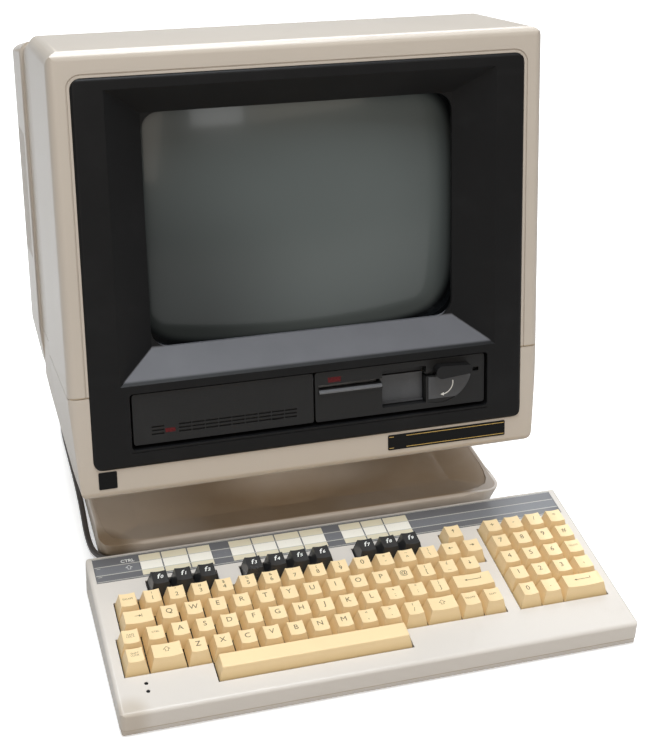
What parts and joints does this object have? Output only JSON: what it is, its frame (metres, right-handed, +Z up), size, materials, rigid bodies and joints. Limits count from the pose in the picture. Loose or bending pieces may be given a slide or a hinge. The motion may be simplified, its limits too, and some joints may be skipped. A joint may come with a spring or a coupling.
{
  "type": "vintage home computer",
  "caption": "Early desktop computer: a silver-grey monitor head with a dark bezel and disk drives on a swivel and tilt stand, with a separate full-size keyboard on a lead.",
  "frame": {"origin": "on the table, under the middle of the whole machine without the keyboard's lead", "axes": "+X to the user's right, -Y towards the user (the front), +Z up"},
  "size_m": [0.4202, 0.501, 0.4389],
  "materials": {
    "case_plastic": "fine-textured warm silver-grey plastic, a little glossy, yellowed and stained in places",
    "bezel_black": "dark charcoal plastic with a satin sheen",
    "panel_black": "black plastic, satin, with glossier edges",
    "lamp_red": "dark red translucent plastic, unlit",
    "screen_glass": "dark grey-green glass over a grey phosphor",
    "copper_winding": "varnished copper windings",
    "circuit_board": "green lacquered board",
    "drive_casting": "cast and folded aluminium",
    "steel": "plated steel",
    "stand_metal": "grey painted steel",
    "fan_black": "black moulded plastic",
    "label_black": "thin black plate with a gold line, without lettering",
    "rubber_black": "black rubber",
    "strip_grey": "dark blue-grey printed strip with thin light lines",
    "key_cream": "cream plastic, slightly yellowed, with fine dark legends",
    "key_black": "black plastic with white legends",
    "cord_grey": "dark grey glossy cord"
  },
  "bodies": {
    "base": {"base_plate": "case_plastic", "swivel_bolt": "steel", "rubber_feet": "rubber_black", "keyboard_top": "case_plastic", "keyboard_base": "case_plastic", "label_strip": "strip_grey", "key_plate": "steel", "key_switches": "fan_black", "keyboard_board": "circuit_board", "keyboard_lights": "lamp_red", "strain_relief": "cord_grey", "keyboard_lead": "cord_grey", "lead_coil": "cord_grey", "lead_plug": "cord_grey"},
    "swivel": {"cradle": "stand_metal", "tilt_pin": "steel"},
    "head": {"upper_case": "case_plastic", "lower_case": "case_plastic", "rear_cover": "case_plastic", "bezel": "bezel_black", "screen_tube": "screen_glass", "deflection_yoke": "copper_winding", "neck_board": "circuit_board", "hard_drive_panel": "panel_black", "hard_drive_body": "drive_casting", "floppy_fascia": "panel_black", "floppy_body": "drive_casting", "drive_lights": "lamp_red", "label_plates": "label_black", "main_board": "circuit_board", "power_supply": "drive_casting", "fan_frame": "fan_black", "rear_sockets": "steel", "mains_inlet": "panel_black", "case_screws": "steel", "tilt_bracket": "stand_metal"},
    "lever": {"floppy_lever": "panel_black"},
    "fan": {"fan_rotor": "fan_black"},
    "mains_rocker": {"power_switch": "panel_black"},
    "brightness": {"brightness_knob": "panel_black"},
    "contrast": {"contrast_knob": "panel_black"},
    "function_keys": {"function_keys": "key_black"},
    "number_keys": {"number_keys": "key_cream"},
    "top_letter_keys": {"top_letter_keys": "key_cream"},
    "home_letter_keys": {"home_letter_keys": "key_cream"},
    "bottom_letter_keys": {"bottom_letter_keys": "key_cream"},
    "escape_key": {"escape_key": "key_cream"},
    "tab_key": {"tab_key": "key_cream"},
    "caps_lock_key": {"caps_lock_key": "key_cream"},
    "control_key": {"control_key": "key_cream"},
    "shift_lock_key": {"shift_lock_key": "key_cream"},
    "left_shift_key": {"left_shift_key": "key_cream"},
    "right_shift_key": {"right_shift_key": "key_cream"},
    "return_key": {"return_key": "key_cream"},
    "delete_key": {"delete_key": "key_cream"},
    "copy_key": {"copy_key": "key_cream"},
    "space_bar": {"space_bar": "key_cream"},
    "cursor_keys": {"cursor_keys": "key_cream"},
    "keypad_keys": {"keypad_keys": "key_cream"},
    "keypad_return_key": {"keypad_return_key": "key_cream"}
  },
  "joints": [
    {"name": "stand_swivel", "type": "hinge", "parent": "base", "child": "swivel", "pos_m": [-0.0141, 0.05302, 0.051], "axis": [0, 0, 1], "range_deg": [-45, 45]},
    {"name": "head_tilt", "type": "hinge", "parent": "swivel", "child": "head", "pos_m": [-0.0141, 0.05302, 0.079], "axis": [1, 0, 0], "range_deg": [-5, 12]},
    {"name": "lever_turn", "type": "hinge", "parent": "head", "child": "lever", "pos_m": [0.09315, -0.07938, 0.16982], "axis": [0, 0.9778, -0.2096], "range_deg": [0, 90]},
    {"name": "fan_spin", "type": "hinge", "parent": "head", "child": "fan", "pos_m": [0.0979, 0.20555, 0.25857], "axis": [0, 0.9778, -0.2096], "continuous": true},
    {"name": "mains_rocker_rock", "type": "hinge", "parent": "head", "child": "mains_rocker", "pos_m": [0.1219, 0.20624, 0.16637], "axis": [1, 0, 0], "range_deg": [0, 16]},
    {"name": "brightness_turn", "type": "hinge", "parent": "head", "child": "brightness", "pos_m": [-0.1641, 0.22077, 0.2103], "axis": [0, 0.9778, -0.2096], "range_deg": [-135, 135]},
    {"name": "contrast_turn", "type": "hinge", "parent": "head", "child": "contrast", "pos_m": [-0.1341, 0.22077, 0.2103], "axis": [0, 0.9778, -0.2096], "range_deg": [-135, 135]},
    {"name": "function_keys_press", "type": "slide", "parent": "base", "child": "function_keys", "axis": [0, 0.0872, -0.9962], "range_m": [0, 0.004], "stiffness_N_per_m": 400, "springref_m": -0.003},
    {"name": "number_keys_press", "type": "slide", "parent": "base", "child": "number_keys", "axis": [0, 0.0872, -0.9962], "range_m": [0, 0.004], "stiffness_N_per_m": 400, "springref_m": -0.003},
    {"name": "top_letter_keys_press", "type": "slide", "parent": "base", "child": "top_letter_keys", "axis": [0, 0.0872, -0.9962], "range_m": [0, 0.004], "stiffness_N_per_m": 400, "springref_m": -0.003},
    {"name": "home_letter_keys_press", "type": "slide", "parent": "base", "child": "home_letter_keys", "axis": [0, 0.0872, -0.9962], "range_m": [0, 0.004], "stiffness_N_per_m": 400, "springref_m": -0.003},
    {"name": "bottom_letter_keys_press", "type": "slide", "parent": "base", "child": "bottom_letter_keys", "axis": [0, 0.0872, -0.9962], "range_m": [0, 0.004], "stiffness_N_per_m": 400, "springref_m": -0.003},
    {"name": "escape_key_press", "type": "slide", "parent": "base", "child": "escape_key", "axis": [0, 0.0872, -0.9962], "range_m": [0, 0.004], "stiffness_N_per_m": 150, "springref_m": -0.003},
    {"name": "tab_key_press", "type": "slide", "parent": "base", "child": "tab_key", "axis": [0, 0.0872, -0.9962], "range_m": [0, 0.004], "stiffness_N_per_m": 150, "springref_m": -0.003},
    {"name": "caps_lock_key_press", "type": "slide", "parent": "base", "child": "caps_lock_key", "axis": [0, 0.0872, -0.9962], "range_m": [0, 0.004], "stiffness_N_per_m": 150, "springref_m": -0.003},
    {"name": "control_key_press", "type": "slide", "parent": "base", "child": "control_key", "axis": [0, 0.0872, -0.9962], "range_m": [0, 0.004], "stiffness_N_per_m": 150, "springref_m": -0.003},
    {"name": "shift_lock_key_press", "type": "slide", "parent": "base", "child": "shift_lock_key", "axis": [0, 0.0872, -0.9962], "range_m": [0, 0.004], "stiffness_N_per_m": 150, "springref_m": -0.003},
    {"name": "left_shift_key_press", "type": "slide", "parent": "base", "child": "left_shift_key", "axis": [0, 0.0872, -0.9962], "range_m": [0, 0.004], "stiffness_N_per_m": 150, "springref_m": -0.003},
    {"name": "right_shift_key_press", "type": "slide", "parent": "base", "child": "right_shift_key", "axis": [0, 0.0872, -0.9962], "range_m": [0, 0.004], "stiffness_N_per_m": 150, "springref_m": -0.003},
    {"name": "return_key_press", "type": "slide", "parent": "base", "child": "return_key", "axis": [0, 0.0872, -0.9962], "range_m": [0, 0.004], "stiffness_N_per_m": 150, "springref_m": -0.003},
    {"name": "delete_key_press", "type": "slide", "parent": "base", "child": "delete_key", "axis": [0, 0.0872, -0.9962], "range_m": [0, 0.004], "stiffness_N_per_m": 150, "springref_m": -0.003},
    {"name": "copy_key_press", "type": "slide", "parent": "base", "child": "copy_key", "axis": [0, 0.0872, -0.9962], "range_m": [0, 0.004], "stiffness_N_per_m": 150, "springref_m": -0.003},
    {"name": "space_bar_press", "type": "slide", "parent": "base", "child": "space_bar", "axis": [0, 0.0872, -0.9962], "range_m": [0, 0.004], "stiffness_N_per_m": 200, "springref_m": -0.003},
    {"name": "cursor_keys_press", "type": "slide", "parent": "base", "child": "cursor_keys", "axis": [0, 0.0872, -0.9962], "range_m": [0, 0.004], "stiffness_N_per_m": 200, "springref_m": -0.003},
    {"name": "keypad_keys_press", "type": "slide", "parent": "base", "child": "keypad_keys", "axis": [0, 0.0872, -0.9962], "range_m": [0, 0.004], "stiffness_N_per_m": 400, "springref_m": -0.003},
    {"name": "keypad_return_key_press", "type": "slide", "parent": "base", "child": "keypad_return_key", "axis": [0, 0.0872, -0.9962], "range_m": [0, 0.004], "stiffness_N_per_m": 150, "springref_m": -0.003}
  ]
}
